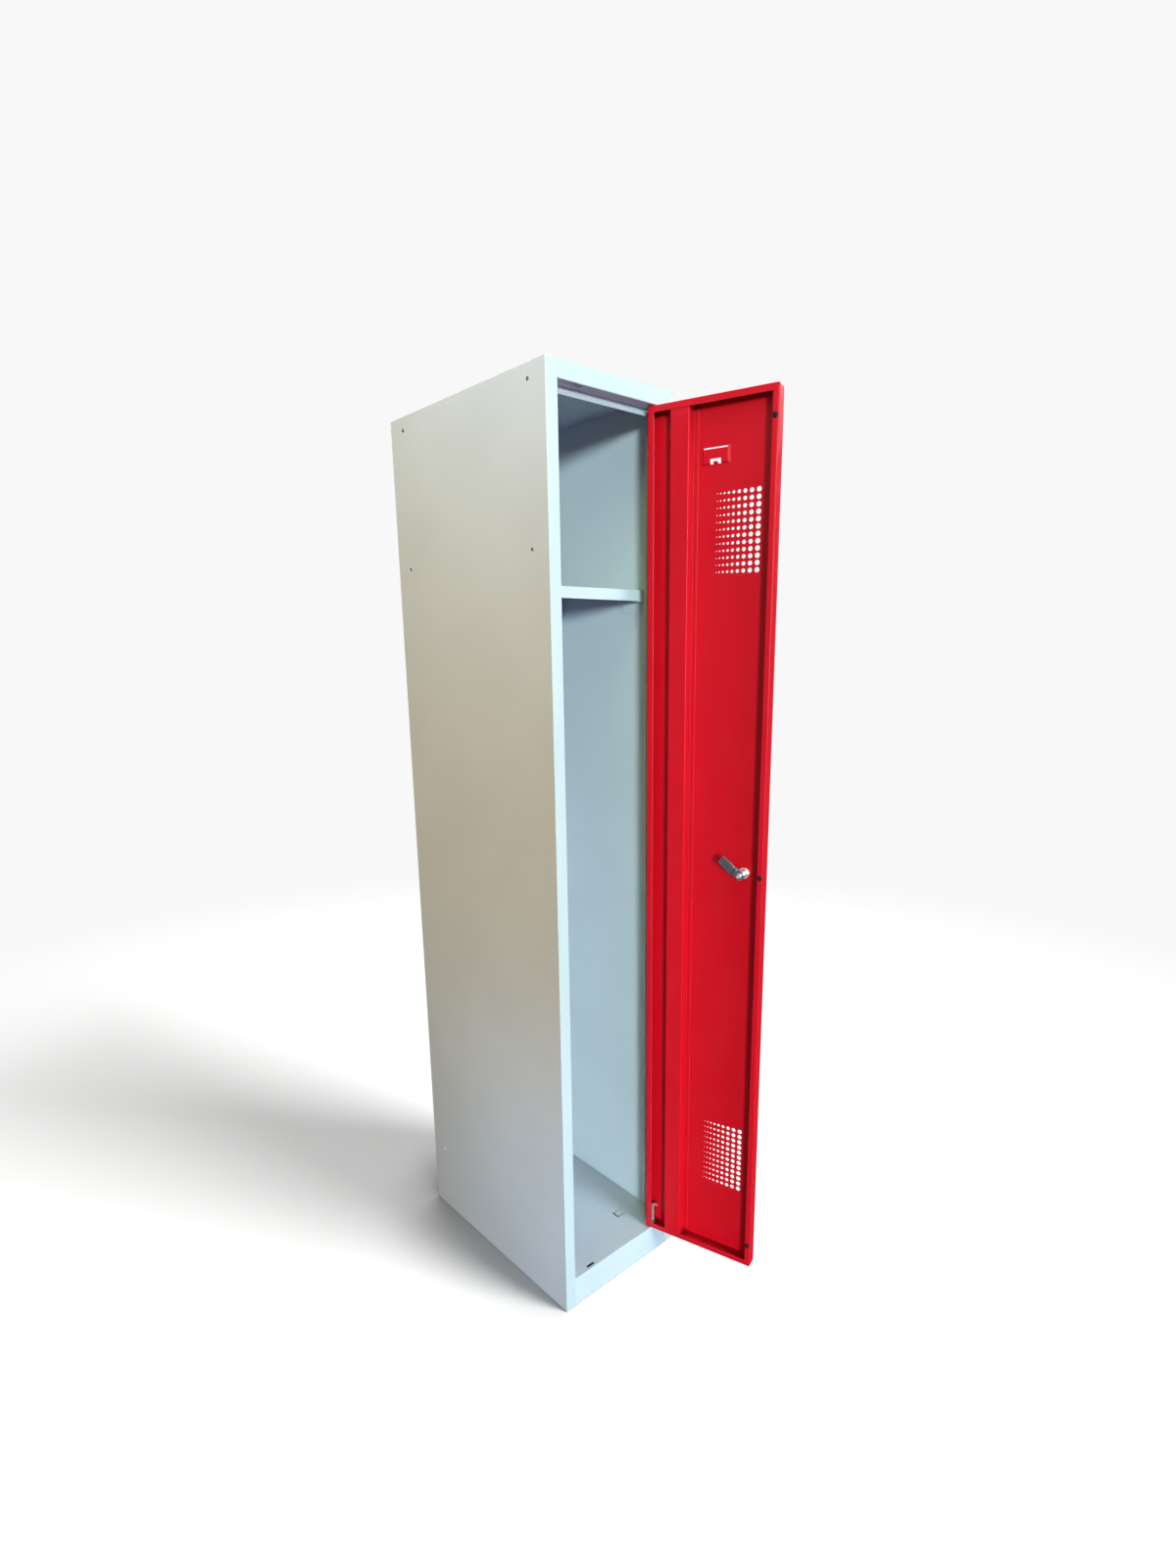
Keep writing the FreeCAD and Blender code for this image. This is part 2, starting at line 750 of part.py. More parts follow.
def door_pieces():
    """Every piece that swings with the door, in the closed place."""
    pieces = {
        "door_panel": door_panel(),
        "door_stiffener": door_stiffener(),
        "upper_hinge_pin": upper_hinge_pin(),
        "lower_pin_guide": lower_pin_guide(),
        "lower_hinge_pin": lower_hinge_pin(),
        "lock_housing": lock_housing(),
        "lock_nut": lock_nut(),
        "lock_plug": turned(lock_plug()),
        "lock_cam": turned(lock_cam()),
        "cam_washer": turned(cam_bolt_washer()),
        "cam_bolt": turned(cam_bolt_piece()),
    }
    for name, z in buffer_heights().items():
        pieces[name + "_door_buffer"] = door_buffer(z)
    return pieces


def main():
    """Builds every piece and writes one file each."""
    os.makedirs("parts", exist_ok=True)
    pieces = cabinet_pieces()
    for name, shape in door_pieces().items():
        pieces[name] = opened(shape)
    for name, shape in pieces.items():
        shape.exportStep("parts/" + name + ".step")


main()
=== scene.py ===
import bpy
import bmesh
import json
import math
from mathutils import Matrix, Vector


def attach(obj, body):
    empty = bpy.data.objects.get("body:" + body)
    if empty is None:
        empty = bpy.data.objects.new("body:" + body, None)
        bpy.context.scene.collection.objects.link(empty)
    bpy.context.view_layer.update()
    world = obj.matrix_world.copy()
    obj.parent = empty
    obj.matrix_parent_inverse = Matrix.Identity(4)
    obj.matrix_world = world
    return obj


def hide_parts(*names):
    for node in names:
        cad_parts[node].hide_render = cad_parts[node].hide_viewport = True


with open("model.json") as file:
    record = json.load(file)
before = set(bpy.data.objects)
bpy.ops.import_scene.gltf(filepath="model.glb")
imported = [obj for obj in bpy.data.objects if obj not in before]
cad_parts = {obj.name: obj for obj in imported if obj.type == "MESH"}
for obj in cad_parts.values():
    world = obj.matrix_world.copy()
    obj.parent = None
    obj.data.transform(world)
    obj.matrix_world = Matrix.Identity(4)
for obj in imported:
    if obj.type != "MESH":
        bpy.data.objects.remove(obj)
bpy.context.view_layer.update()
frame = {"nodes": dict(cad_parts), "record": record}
nodes = frame["nodes"]
joints = {row["name"]: row for row in frame["record"]["behaviour"]["joints"]}

# Camera, fitted to the photograph's corners and edges. Pixels are those of the 1200 by 1600 image.
IMAGE_WIDTH = 1200
IMAGE_HEIGHT = 1600
FOCAL_PIXELS = 815.9
CENTRE_X_PIXELS = 596.7
CENTRE_Y_PIXELS = 846.2
CAMERA_PLACE = Vector((-1.043, -1.331, 1.340))
CAMERA_YAW = math.radians(41.67)
CAMERA_PITCH = math.radians(-12.60)
CAMERA_ROLL = math.radians(0.87)
CAMERA_NEAR = 0.01
SENSOR_MM = 36.0

# Lights. Azimuth counts from the front towards the right side, seen from above. Strengths are per colour.
# On the cabinet apart from its left side panel, and the front light on the door as well
WINDOW_LIGHT = {"azimuth": -34.0, "elevation": 5.0, "angle": 8.0, "strength": (2.47, 3.28, 3.60)}
FRONT_LIGHT = {"azimuth": 4.0, "elevation": 41.0, "angle": 24.0, "strength": (1.67, 2.10, 2.54)}
TOP_PANEL = {"place": (-1.4, -0.9, 3.0), "aim": (-0.15, -0.1, 1.6), "side": 0.8,
             "strength": (9.0, 12.5, 5.0)}
LOW_PANEL = {"place": (-0.5, -1.5, 0.35), "aim": (0.1, 0.0, 0.5), "side": 0.6,
             "strength": (0.1, 0.4, 5.0)}
# On the left side panel
SIDE_FRONT = {"azimuth": 4.0, "elevation": 41.0, "angle": 24.0, "strength": (3.55, 5.00, 5.61)}
SIDE_LEFT = {"place": (-1.6, 0.2, 2.3), "aim": (-0.15, 0.0, 1.5), "side": 0.8,
             "strength": (16.8, 14.4, 9.1)}
SIDE_HALF = {"place": (-1.6, -0.3, 0.7), "aim": (-0.15, 0.0, 0.6), "side": 0.8,
             "strength": (6.7, 3.7, 0.1)}
SIDE_TOP = {"place": (-0.75, -0.35, 2.5), "aim": (-0.15, -0.05, 1.6), "side": 0.6,
            "strength": (5.1, 7.6, 11.2)}
SIDE_LOW = {"place": (-0.8, -0.35, 0.15), "aim": (-0.15, -0.1, 0.05), "side": 0.4,
            "strength": (1.3, 2.3, 3.8)}
SIDE_BROW = {"place": (-0.3, -1.6, 2.6), "aim": (-0.15, -0.25, 1.6), "side": 0.8,
             "strength": (7.8, 7.0, 6.1)}
# On the door and what moves with it
DOOR_LIGHT = {"azimuth": -34.0, "elevation": 5.0, "angle": 8.0, "strength": (2.3, 2.25, 2.25)}
DOOR_FILL = {"azimuth": -38.0, "elevation": 12.0, "angle": 108.0, "strength": (1.6, 1.5, 1.5)}
DOOR_BROW = {"place": (-0.8, 0.7, 2.7), "aim": (0.2, -0.45, 1.65), "side": 0.8,
             "strength": (6.5, 6.5, 6.5)}
# On the whole locker from its right and from behind, and on the floor alone
RIGHT_LIGHT = {"azimuth": 100.0, "elevation": 25.0, "angle": 10.0, "strength": (2.4, 2.45, 2.5)}
BACK_LIGHT = {"azimuth": 172.0, "elevation": 25.0, "angle": 10.0, "strength": (2.1, 2.15, 2.2)}
FLOOR_KEY = {"azimuth": 24.0, "elevation": 36.0, "angle": 24.0, "strength": (3.4, 3.4, 3.4)}
# Soft light from the room, by the side that it comes from
ROOM_LIGHT = {
    "left": (0.01, 0.01, 0.01),
    "right": (0.07, 0.07, 0.07),
    "front": (0.55, 0.52, 0.46),
    "back": (0.05, 0.05, 0.05),
    "above": (0.02, 0.02, 0.02),
}
ROOM_SIDES = {
    "left": ("X", -1.0),
    "right": ("X", 1.0),
    "front": ("Y", -1.0),
    "back": ("Y", 1.0),
    "above": ("Z", 1.0),
}

# Floor and backdrop
BACKDROP_GREY = 0.94
FLOOR_HALF = 20.0
FLOOR_DROP = 0.0005
FLOOR_GREY = 0.90
FLOOR_ROUGHNESS = 0.9
# Grey of the floor as the locker sees it
FLOOR_BOUNCE = 0.08
# Distances from the locker's middle between which the floor fades into the backdrop
FLOOR_FADE = (1.7, 3.4)
# The floor's glow in the open, and in the painted contact shadow at the locker's foot, with that shadow's
# reach and openness
FLOOR_GLOW = 0.45
PAINTED_SHADOW_GLOW = 0.0
PAINTED_SHADOW_REACH = 0.26
PAINTED_SHADOW_OPENNESS = (0.55, 0.95)
PAINTED_SHADOW_SAMPLES = 16
# The glow is whole, with no painted shadow, in front of the locker, from its left side's line rightwards
SIDE_LINE = (-0.151, -0.149)
FRONT_LINE = (-0.251, -0.249)
# Painted shade: dark floor in the closed space under the locker, just within its foot
FOOT_HALF_WIDTH = 0.148
FOOT_HALF_DEPTH = 0.248
UNDER_LOCKER_SHADE_GREY = 0.02

# Number of rays with which a material looks for edges, and for deep corners where it paints shade
EDGE_SAMPLES = 6
PAINTED_SHADE_SAMPLES = 8
# The Mix node has sockets of the same name for each type, so those for colours go by number
MIX_COLOUR_INPUTS = (6, 7)
MIX_COLOUR_OUTPUT = 2

# New pieces: points closer than this are one, and an edge that bends more than this is sharp
WELD_DISTANCE = 1e-6
SHARP_ANGLE = math.radians(25)

# The closed door's places, in metres, as the part has them
DOOR_FACE = -0.250
DOOR_SKIN = 0.001
DOOR_FREE_EDGE = -0.1225
DOOR_BOTTOM = 0.0675
DOOR_TOP = 1.7675

# Ventilation holes
VENT_COLUMNS = 9
VENT_ROWS = 12
VENT_INSET = 0.0388
VENT_END = 0.158
VENT_ROW_PITCH = 0.0122
VENT_COLUMN_PITCH = 0.0132
VENT_PITCH_STEP = 0.001
VENT_DIAMETER = 0.0095
VENT_DIAMETER_STEP = 0.00095
VENT_STEPS = 16
# Rim of a hole, as parts of the hole's radius and heights above the skin's nearer face
RIM_PROFILE = ((1.10, 0.00002), (0.995, 0.00003), (0.965, -0.00014))

# Lock, with depths measured inwards from the door's face along the lock's axis
LOCK_STEPS = 48
CHAMFER_SLOPE = math.tan(math.radians(30))
CHAMFER_START = 0.95
NUT_FLATS = 0.020
NUT_DEPTHS = (0.001, 0.007)
NUT_BORE = 0.00805
NUT_BORE_BREAK = 0.0005
BARREL_RADIUS = 0.008
BARREL_HALF_FLATS = 0.0068
BARREL_DEPTH = 0.026
BARREL_BORE = 0.0055
BARREL_BREAK = 0.0007
THREAD_PITCH = 0.0015
THREAD_DEPTH = 0.0007
# Where a groove's root ends, the crest starts and ends, and the root starts again, as parts of the pitch
THREAD_PARTS = (0.15, 0.45, 0.60, 0.90)
# Least sine to divide by, which keeps the reach of the barrel's flats finite
LEAST_SINE = 0.1
HEAD_RADIUS = 0.0105
HEAD_HEIGHT = 0.0025
HEAD_ROUND = 0.001
HEAD_ROUND_STEPS = 4
BOLT_FLATS = 0.008
BOLT_DEPTHS = (0.0188, 0.0298, 0.0333)
BOLT_SHANK = 0.00245
BOLT_DISH = 0.0004
# Rim and floor of the dish, as parts of half the width across flats
BOLT_DISH_RIM = 0.72
BOLT_DISH_FLOOR = 0.62


def point_from_angles(azimuth, elevation):
    """Direction towards a light, from its angles in degrees."""
    turn = math.radians(azimuth)
    rise = math.radians(elevation)
    return Vector((math.sin(turn) * math.cos(rise), -math.cos(turn) * math.cos(rise), math.sin(rise)))


def add_camera():
    """Camera at the photograph's place, with its lens and framing."""
    forward = Vector((math.sin(CAMERA_YAW) * math.cos(CAMERA_PITCH),
                      math.cos(CAMERA_YAW) * math.cos(CAMERA_PITCH),
                      math.sin(CAMERA_PITCH)))
    level = Vector((math.cos(CAMERA_YAW), -math.sin(CAMERA_YAW), 0.0))
    down = forward.cross(level)
    right = level * math.cos(CAMERA_ROLL) + down * math.sin(CAMERA_ROLL)
    up = level * math.sin(CAMERA_ROLL) - down * math.cos(CAMERA_ROLL)
    data = bpy.data.cameras.new("camera")
    data.sensor_width = SENSOR_MM
    data.lens = FOCAL_PIXELS / IMAGE_HEIGHT * SENSOR_MM
    data.shift_x = (IMAGE_WIDTH / 2 - CENTRE_X_PIXELS) / IMAGE_HEIGHT
    data.shift_y = (CENTRE_Y_PIXELS - IMAGE_HEIGHT / 2) / IMAGE_HEIGHT
    data.clip_start = CAMERA_NEAR
    camera = bpy.data.objects.new("camera", data)
    turn = Matrix((right, up, -forward)).transposed().to_4x4()
    camera.matrix_world = Matrix.Translation(CAMERA_PLACE) @ turn
    bpy.context.scene.collection.objects.link(camera)
    bpy.context.scene.camera = camera


def set_strength(data, strength):
    """Splits a strength per colour into a power and a colour."""
    data.energy = max(strength)
    data.color = [channel / max(strength) for channel in strength]


def linked_objects(name, objects, state):
    """Collection that a light takes or leaves out."""
    collection = bpy.data.collections.new(name)
    for item in objects:
        collection.objects.link(item)
    for entry in collection.collection_objects:
        entry.light_linking.link_state = state
    return collection


def add_sun(name, settings, receivers, blockers=None):
    """Soft distant light on the receivers, shadowed by all objects or by the blockers alone."""
    data = bpy.data.lights.new(name, "SUN")
    set_strength(data, settings["strength"])
    data.angle = math.radians(settings["angle"])
    light = bpy.data.objects.new(name, data)
    towards = point_from_angles(settings["azimuth"], settings["elevation"])
    light.rotation_mode = "QUATERNION"
    light.rotation_quaternion = towards.to_track_quat("Z", "Y")
    bpy.context.scene.collection.objects.link(light)
    light.light_linking.receiver_collection = receivers
    light.light_linking.blocker_collection = blockers


def add_panel(name, settings, receivers):
    """Square light panel that the camera doesn't see."""
    data = bpy.data.lights.new(name, "AREA")
    set_strength(data, settings["strength"])
    data.size = settings["side"]
    light = bpy.data.objects.new(name, data)
    place = Vector(settings["place"])
    light.location = place
    light.rotation_mode = "QUATERNION"
    light.rotation_quaternion = (place - Vector(settings["aim"])).to_track_quat("Z", "Y")
    light.visible_camera = False
    bpy.context.scene.collection.objects.link(light)
    light.light_linking.receiver_collection = receivers


def add_lights(floor, door_pieces):
    """Adds all lights, each on the pieces that it is meant for."""
    cabinet = [nodes[name] for name in frame["record"]["behaviour"]["bodies"]["cabinet"]]
    left_side = nodes["left_side_panel"]
    other_cabinet = [item for item in cabinet if item != left_side]
    swinging = [item for item in nodes.values() if item not in cabinet] + door_pieces
    only_floor = linked_objects("only_floor", [floor], "INCLUDE")
    only_cabinet = linked_objects("only_cabinet", cabinet, "INCLUDE")
    only_side = linked_objects("only_side", [left_side], "INCLUDE")
    only_other_cabinet = linked_objects("only_other_cabinet", other_cabinet, "INCLUDE")
    only_door = linked_objects("only_door", swinging, "INCLUDE")
    not_floor = linked_objects("not_floor", [floor], "EXCLUDE")
    not_floor_or_side = linked_objects("not_floor_or_side", [floor, left_side], "EXCLUDE")
    add_sun("window_light", WINDOW_LIGHT, only_other_cabinet)
    add_sun("front_light", FRONT_LIGHT, not_floor_or_side)
    add_panel("top_panel", TOP_PANEL, only_other_cabinet)
    add_panel("low_panel", LOW_PANEL, only_other_cabinet)
    add_sun("side_front", SIDE_FRONT, only_side)
    add_panel("side_left", SIDE_LEFT, only_side)
    add_panel("side_half", SIDE_HALF, only_side)
    add_panel("side_top", SIDE_TOP, only_side)
    add_panel("side_low", SIDE_LOW, only_side)
    add_panel("side_brow", SIDE_BROW, only_side)
    add_sun("door_light", DOOR_LIGHT, only_door)
    add_sun("door_fill", DOOR_FILL, only_door)
    add_panel("door_brow", DOOR_BROW, only_door)
    add_sun("right_light", RIGHT_LIGHT, not_floor)
    add_sun("back_light", BACK_LIGHT, not_floor)
    add_sun("floor_key", FLOOR_KEY, only_floor, only_cabinet)


def math_node(tree, operation, first, second):
    """Math on sockets or plain values."""
    node = tree.nodes.new("ShaderNodeMath")
    node.operation = operation
    for socket, value in zip(node.inputs, (first, second)):
        if isinstance(value, (int, float)):
            socket.default_value = value
        else:
            tree.links.new(value, socket)
    return node.outputs["Value"]


def add_world():
    """Light from the room by direction, and a pale backdrop where the camera looks past the floor."""
    world = bpy.data.worlds.new("studio")
    world.use_nodes = True
    tree = world.node_tree
    tree.nodes.clear()
    coordinates = tree.nodes.new("ShaderNodeTexCoord")
    split = tree.nodes.new("ShaderNodeSeparateXYZ")
    tree.links.new(coordinates.outputs["Generated"], split.inputs["Vector"])
    room = None
    for side, (axis, sign) in ROOM_SIDES.items():
        facing = math_node(tree, "MAXIMUM", math_node(tree, "MULTIPLY", split.outputs[axis], sign), 0.0)
        light = tree.nodes.new("ShaderNodeBackground")
        light.inputs["Color"].default_value = (*ROOM_LIGHT[side], 1.0)
        tree.links.new(math_node(tree, "MULTIPLY", facing, facing), light.inputs["Strength"])
        if room is None:
            room = light.outputs["Background"]
            continue
        both = tree.nodes.new("ShaderNodeAddShader")
        tree.links.new(room, both.inputs[0])
        tree.links.new(light.outputs["Background"], both.inputs[1])
        room = both.outputs["Shader"]
    backdrop = tree.nodes.new("ShaderNodeBackground")
    backdrop.inputs["Color"].default_value = (BACKDROP_GREY, BACKDROP_GREY, BACKDROP_GREY, 1.0)
    path = tree.nodes.new("ShaderNodeLightPath")
    whole = mix_shaders(tree, path.outputs["Is Camera Ray"], room, backdrop.outputs["Background"])
    output = tree.nodes.new("ShaderNodeOutputWorld")
    tree.links.new(whole, output.inputs["Surface"])
    bpy.context.scene.world = world


def emission(tree, grey):
    """Even grey glow."""
    node = tree.nodes.new("ShaderNodeEmission")
    node.inputs["Color"].default_value = (grey, grey, grey, 1.0)
    return node.outputs["Emission"]


def mix_shaders(tree, factor, first, second):
    """Mix of two shaders."""
    node = tree.nodes.new("ShaderNodeMixShader")
    tree.links.new(factor, node.inputs["Fac"])
    tree.links.new(first, node.inputs[1])
    tree.links.new(second, node.inputs[2])
    return node.outputs["Shader"]


def map_range(tree, value, source, target, interpolation="LINEAR"):
    """Maps a value from one range to another, without going beyond its ends."""
    node = tree.nodes.new("ShaderNodeMapRange")
    node.interpolation_type = interpolation
    node.inputs["From Min"].default_value = source[0]
    node.inputs["From Max"].default_value = source[1]
    node.inputs["To Min"].default_value = target[0]
    node.inputs["To Max"].default_value = target[1]
    tree.links.new(value, node.inputs["Value"])
    return node.outputs["Result"]


def openness(tree, distance, samples):
    """How open a surface is: one in the open, less where other surfaces stand close."""
    node = tree.nodes.new("ShaderNodeAmbientOcclusion")
    node.samples = samples
    node.inputs["Distance"].default_value = distance
    return node.outputs["AO"]


def floor_glow(tree, place):
    """The floor's own light, with a painted contact shadow in the corner at the locker's foot, beside it
    and behind it.
    """
    split = tree.nodes.new("ShaderNodeSeparateXYZ")
    tree.links.new(place, split.inputs["Vector"])
    beside = map_range(tree, split.outputs["X"], SIDE_LINE, (0.0, 1.0))
    before = map_range(tree, split.outputs["Y"], FRONT_LINE, (1.0, 0.0))
    in_front = math_node(tree, "MULTIPLY", beside, before)
    # Painted contact shadow: the glow fades where the locker stands close.
    corner = map_range(tree, openness(tree, PAINTED_SHADOW_REACH, PAINTED_SHADOW_SAMPLES), PAINTED_SHADOW_OPENNESS,
                       (PAINTED_SHADOW_GLOW, FLOOR_GLOW))
    left_out = math_node(tree, "MULTIPLY", in_front, math_node(tree, "SUBTRACT", FLOOR_GLOW, corner))
    return math_node(tree, "ADD", corner, left_out)


def floor_paper():
    """Pale paper that fades into the backdrop, and gives the locker little light from below."""
    material = bpy.data.materials.new("floor_paper")
    material.use_nodes = True
    tree = material.node_tree
    shader = tree.nodes["Principled BSDF"]
    shader.inputs["Base Color"].default_value = (FLOOR_GREY, FLOOR_GREY, FLOOR_GREY, 1.0)
    shader.inputs["Roughness"].default_value = FLOOR_ROUGHNESS
    shader.inputs["Specular IOR Level"].default_value = 0.0
    shader.inputs["Emission Color"].default_value = (1.0, 1.0, 1.0, 1.0)
    place = tree.nodes.new("ShaderNodeTexCoord").outputs["Object"]
    tree.links.new(floor_glow(tree, place), shader.inputs["Emission Strength"])
    distance = tree.nodes.new("ShaderNodeVectorMath")
    distance.operation = "LENGTH"
    tree.links.new(place, distance.inputs[0])
    fade = map_range(tree, distance.outputs["Value"], FLOOR_FADE, (0.0, 1.0), "SMOOTHSTEP")
    seen = mix_shaders(tree, fade, shader.outputs["BSDF"], emission(tree, BACKDROP_GREY))
    path = tree.nodes.new("ShaderNodeLightPath")
    whole = mix_shaders(tree, path.outputs["Is Camera Ray"], emission(tree, FLOOR_BOUNCE), seen)
    tree.links.new(whole, tree.nodes["Material Output"].inputs["Surface"])
    return material


def painted_shade_floor():
    """Plain dark floor, as painted shade."""
    material = bpy.data.materials.new("shade_under_locker")
    material.use_nodes = True
    shader = material.node_tree.nodes["Principled BSDF"]
    grey = UNDER_LOCKER_SHADE_GREY
    shader.inputs["Base Color"].default_value = (grey, grey, grey, 1.0)
    return material


def add_floor():
    """Plain pale floor, with painted shade in the closed space under the locker."""
    across = (-FLOOR_HALF, -FOOT_HALF_WIDTH, FOOT_HALF_WIDTH, FLOOR_HALF)
    along = (-FLOOR_HALF, -FOOT_HALF_DEPTH, FOOT_HALF_DEPTH, FLOOR_HALF)
    places = [(x, y, -FLOOR_DROP) for y in along for x in across]
    count = len(across)
    corners = [count * row + column for row in range(len(along) - 1) for column in range(count - 1)]
    faces = [(corner, corner + 1, corner + count + 1, corner + count) for corner in corners]
    mesh = bpy.data.meshes.new("floor")
    mesh.from_pydata(places, [], faces)
    mesh.materials.append(floor_paper())
    mesh.materials.append(painted_shade_floor())
    mesh.polygons[len(faces) // 2].material_index = 1
    floor = bpy.data.objects.new("floor", mesh)
    bpy.context.scene.collection.objects.link(floor)
    return floor


class Surface:
    """A material under construction: its node tree, its shader and its object coordinates."""

    def __init__(self, name):
        self.material = bpy.data.materials.new(name)
        self.material.use_nodes = True
        self.tree = self.material.node_tree
        self.shader = self.tree.nodes["Principled BSDF"]
        self.coordinates = self.tree.nodes.new("ShaderNodeTexCoord").outputs["Object"]

    def set_gloss(self, level):
        """Sets how strongly the surface mirrors, the same all over."""
        self.shader.inputs["Specular IOR Level"].default_value = level

    def noise(self, scale, detail=2.0, stretch=(1.0, 1.0, 1.0)):
        """Noise over the object, in waves per metre."""
        mapping = self.tree.nodes.new("ShaderNodeMapping")
        mapping.inputs["Scale"].default_value = stretch
        self.tree.links.new(self.coordinates, mapping.inputs["Vector"])
        texture = self.tree.nodes.new("ShaderNodeTexNoise")
        texture.inputs["Scale"].default_value = scale
        texture.inputs["Detail"].default_value = detail
        self.tree.links.new(mapping.outputs["Vector"], texture.inputs["Vector"])
        return texture.outputs["Fac"]

    def spread(self, value, low, high, start=0.35, end=0.65):
        """Stretches a noise value over a range."""
        return map_range(self.tree, value, (start, end), (low, high))

    def mix(self, factor, first, second):
        """Mixes two colours, given as values or as sockets."""
        node = self.tree.nodes.new("ShaderNodeMix")
        node.data_type = "RGBA"
        self.tree.links.new(factor, node.inputs["Factor"])
        for number, colour in zip(MIX_COLOUR_INPUTS, (first, second)):
            if isinstance(colour, tuple):
                node.inputs[number].default_value = (*colour, 1.0)
            else:
                self.tree.links.new(colour, node.inputs[number])
        return node.outputs[MIX_COLOUR_OUTPUT]

    def edges(self, radius):
        """Mask of the sharp edges and bends, and rounds them in the shading."""
        rounded = self.tree.nodes.new("ShaderNodeBevel")
        rounded.samples = EDGE_SAMPLES
        rounded.inputs["Radius"].default_value = radius
        self.tree.links.new(rounded.outputs["Normal"], self.shader.inputs["Normal"])
        plain = self.tree.nodes.new("ShaderNodeNewGeometry")
        likeness = self.tree.nodes.new("ShaderNodeVectorMath")
        likeness.operation = "DOT_PRODUCT"
        self.tree.links.new(rounded.outputs["Normal"], likeness.inputs[0])
        self.tree.links.new(plain.outputs["Normal"], likeness.inputs[1])
        return self.spread(likeness.outputs["Value"], low=1.0, high=0.0, start=0.75, end=0.98)

    def bump(self, height, strength, distance):
        """Raises the surface by a height value, over whatever bump it has."""
        node = self.tree.nodes.new("ShaderNodeBump")
        node.inputs["Strength"].default_value = strength
        node.inputs["Distance"].default_value = distance
        self.tree.links.new(height, node.inputs["Height"])
        normal = self.shader.inputs["Normal"]
        if normal.is_linked:
            self.tree.links.new(normal.links[0].from_socket, node.inputs["Normal"])
        self.tree.links.new(node.outputs["Normal"], normal)

    def link(self, socket, name):
        """Feeds a shader socket."""
        self.tree.links.new(socket, self.shader.inputs[name])


def shade(colour, factor):
    """A lighter or darker version of a colour."""
    return tuple(min(1.0, channel * factor) for channel in colour)


def powder_coat(name, colour, roughness, peel, gloss, edge_wear_and_highlight, corner):
    """Baked powder coat: orange peel, clouding and flecks; lighter along edges, partly coat wear and partly
    painted highlight; painted shade in deep corners.
    """
    surface = Surface(name)
    clouds = surface.spread(surface.noise(scale=4.0, detail=3.0), low=0.0, high=1.0)
    flecks = surface.spread(surface.noise(scale=700.0, detail=1.0), low=0.0, high=0.35)
    clouded = surface.mix(clouds, shade(colour, factor=0.965), shade(colour, factor=1.03))
    coat = surface.mix(flecks, clouded, shade(colour, factor=0.93))
    # Lighter edges: partly wear of the coat, partly painted highlight along edges and bends.
    rubbing = surface.spread(surface.noise(scale=45.0, detail=3.0), low=0.5, high=1.0)
    highlit_worn_edges = math_node(surface.tree, "MULTIPLY", surface.edges(radius=0.0015), rubbing)
    worn_and_highlit = surface.mix(highlit_worn_edges, coat, edge_wear_and_highlight)
    # Painted shade: deep corners and recesses take a darker copy of the colour, by the factor corner.
    depth = openness(surface.tree, distance=0.022, samples=PAINTED_SHADE_SAMPLES)
    clear_of_painted_shade = surface.spread(depth, low=0.0, high=1.0, start=0.3, end=0.65)
    surface.link(surface.mix(clear_of_painted_shade, shade(colour, corner), worn_and_highlit), "Base Color")
    patches = surface.noise(scale=14.0, detail=4.0)
    surface.link(surface.spread(patches, low=roughness - 0.05, high=roughness + 0.06), "Roughness")
    surface.bump(surface.noise(scale=520.0), strength=peel, distance=0.0006)
    surface.bump(surface.noise(scale=18.0, detail=1.0), strength=0.05, distance=0.0008)
    surface.set_gloss(gloss)
    return surface.material


def plated_steel(name, colour, roughness, metallic, stretch, rim_polish_and_highlight):
    """Bright metal with a fine grain and slightly uneven plating; its rims lighter and less metallic,
    partly polish from handling and partly painted highlight.
    """
    surface = Surface(name)
    clouds = surface.spread(surface.noise(scale=60.0, detail=3.0), low=0.0, high=1.0)
    plating = surface.mix(clouds, shade(colour, factor=0.86), shade(colour, factor=1.08))
    # Lighter rims: partly polish from handling, partly painted highlight.
    worn_and_highlit = surface.edges(radius=0.0007)
    surface.link(surface.mix(worn_and_highlit, plating, rim_polish_and_highlight), "Base Color")
    surface.link(surface.spread(worn_and_highlit, low=metallic, high=0.35, start=0.0, end=1.0), "Metallic")
    grain = surface.noise(scale=900.0, stretch=stretch)
    surface.link(surface.spread(grain, low=roughness - 0.03, high=roughness + 0.05), "Roughness")
    surface.bump(grain, strength=0.05, distance=0.0002)
    return surface.material


def rubber(name, colour):
    """Matt moulded rubber."""
    surface = Surface(name)
    clouds = surface.spread(surface.noise(scale=220.0), low=0.0, high=1.0)
    surface.link(surface.mix(clouds, shade(colour, factor=0.7), shade(colour, factor=1.5)), "Base Color")
    surface.link(surface.spread(clouds, low=0.55, high=0.75, start=0.0, end=1.0), "Roughness")
    surface.bump(surface.noise(scale=1600.0), strength=0.15, distance=0.0003)
    surface.set_gloss(0.25)
    return surface.material


def nylon(name, colour):
    """Moulded nylon with a faint grain."""
    surface = Surface(name)
    clouds = surface.spread(surface.noise(scale=90.0), low=0.0, high=1.0)
    surface.link(surface.mix(clouds, shade(colour, factor=0.94), shade(colour, factor=1.05)), "Base Color")
    surface.link(surface.spread(surface.noise(scale=300.0), low=0.42, high=0.55), "Roughness")
    surface.bump(surface.noise(scale=1200.0), strength=0.08, distance=0.0003)
    return surface.material


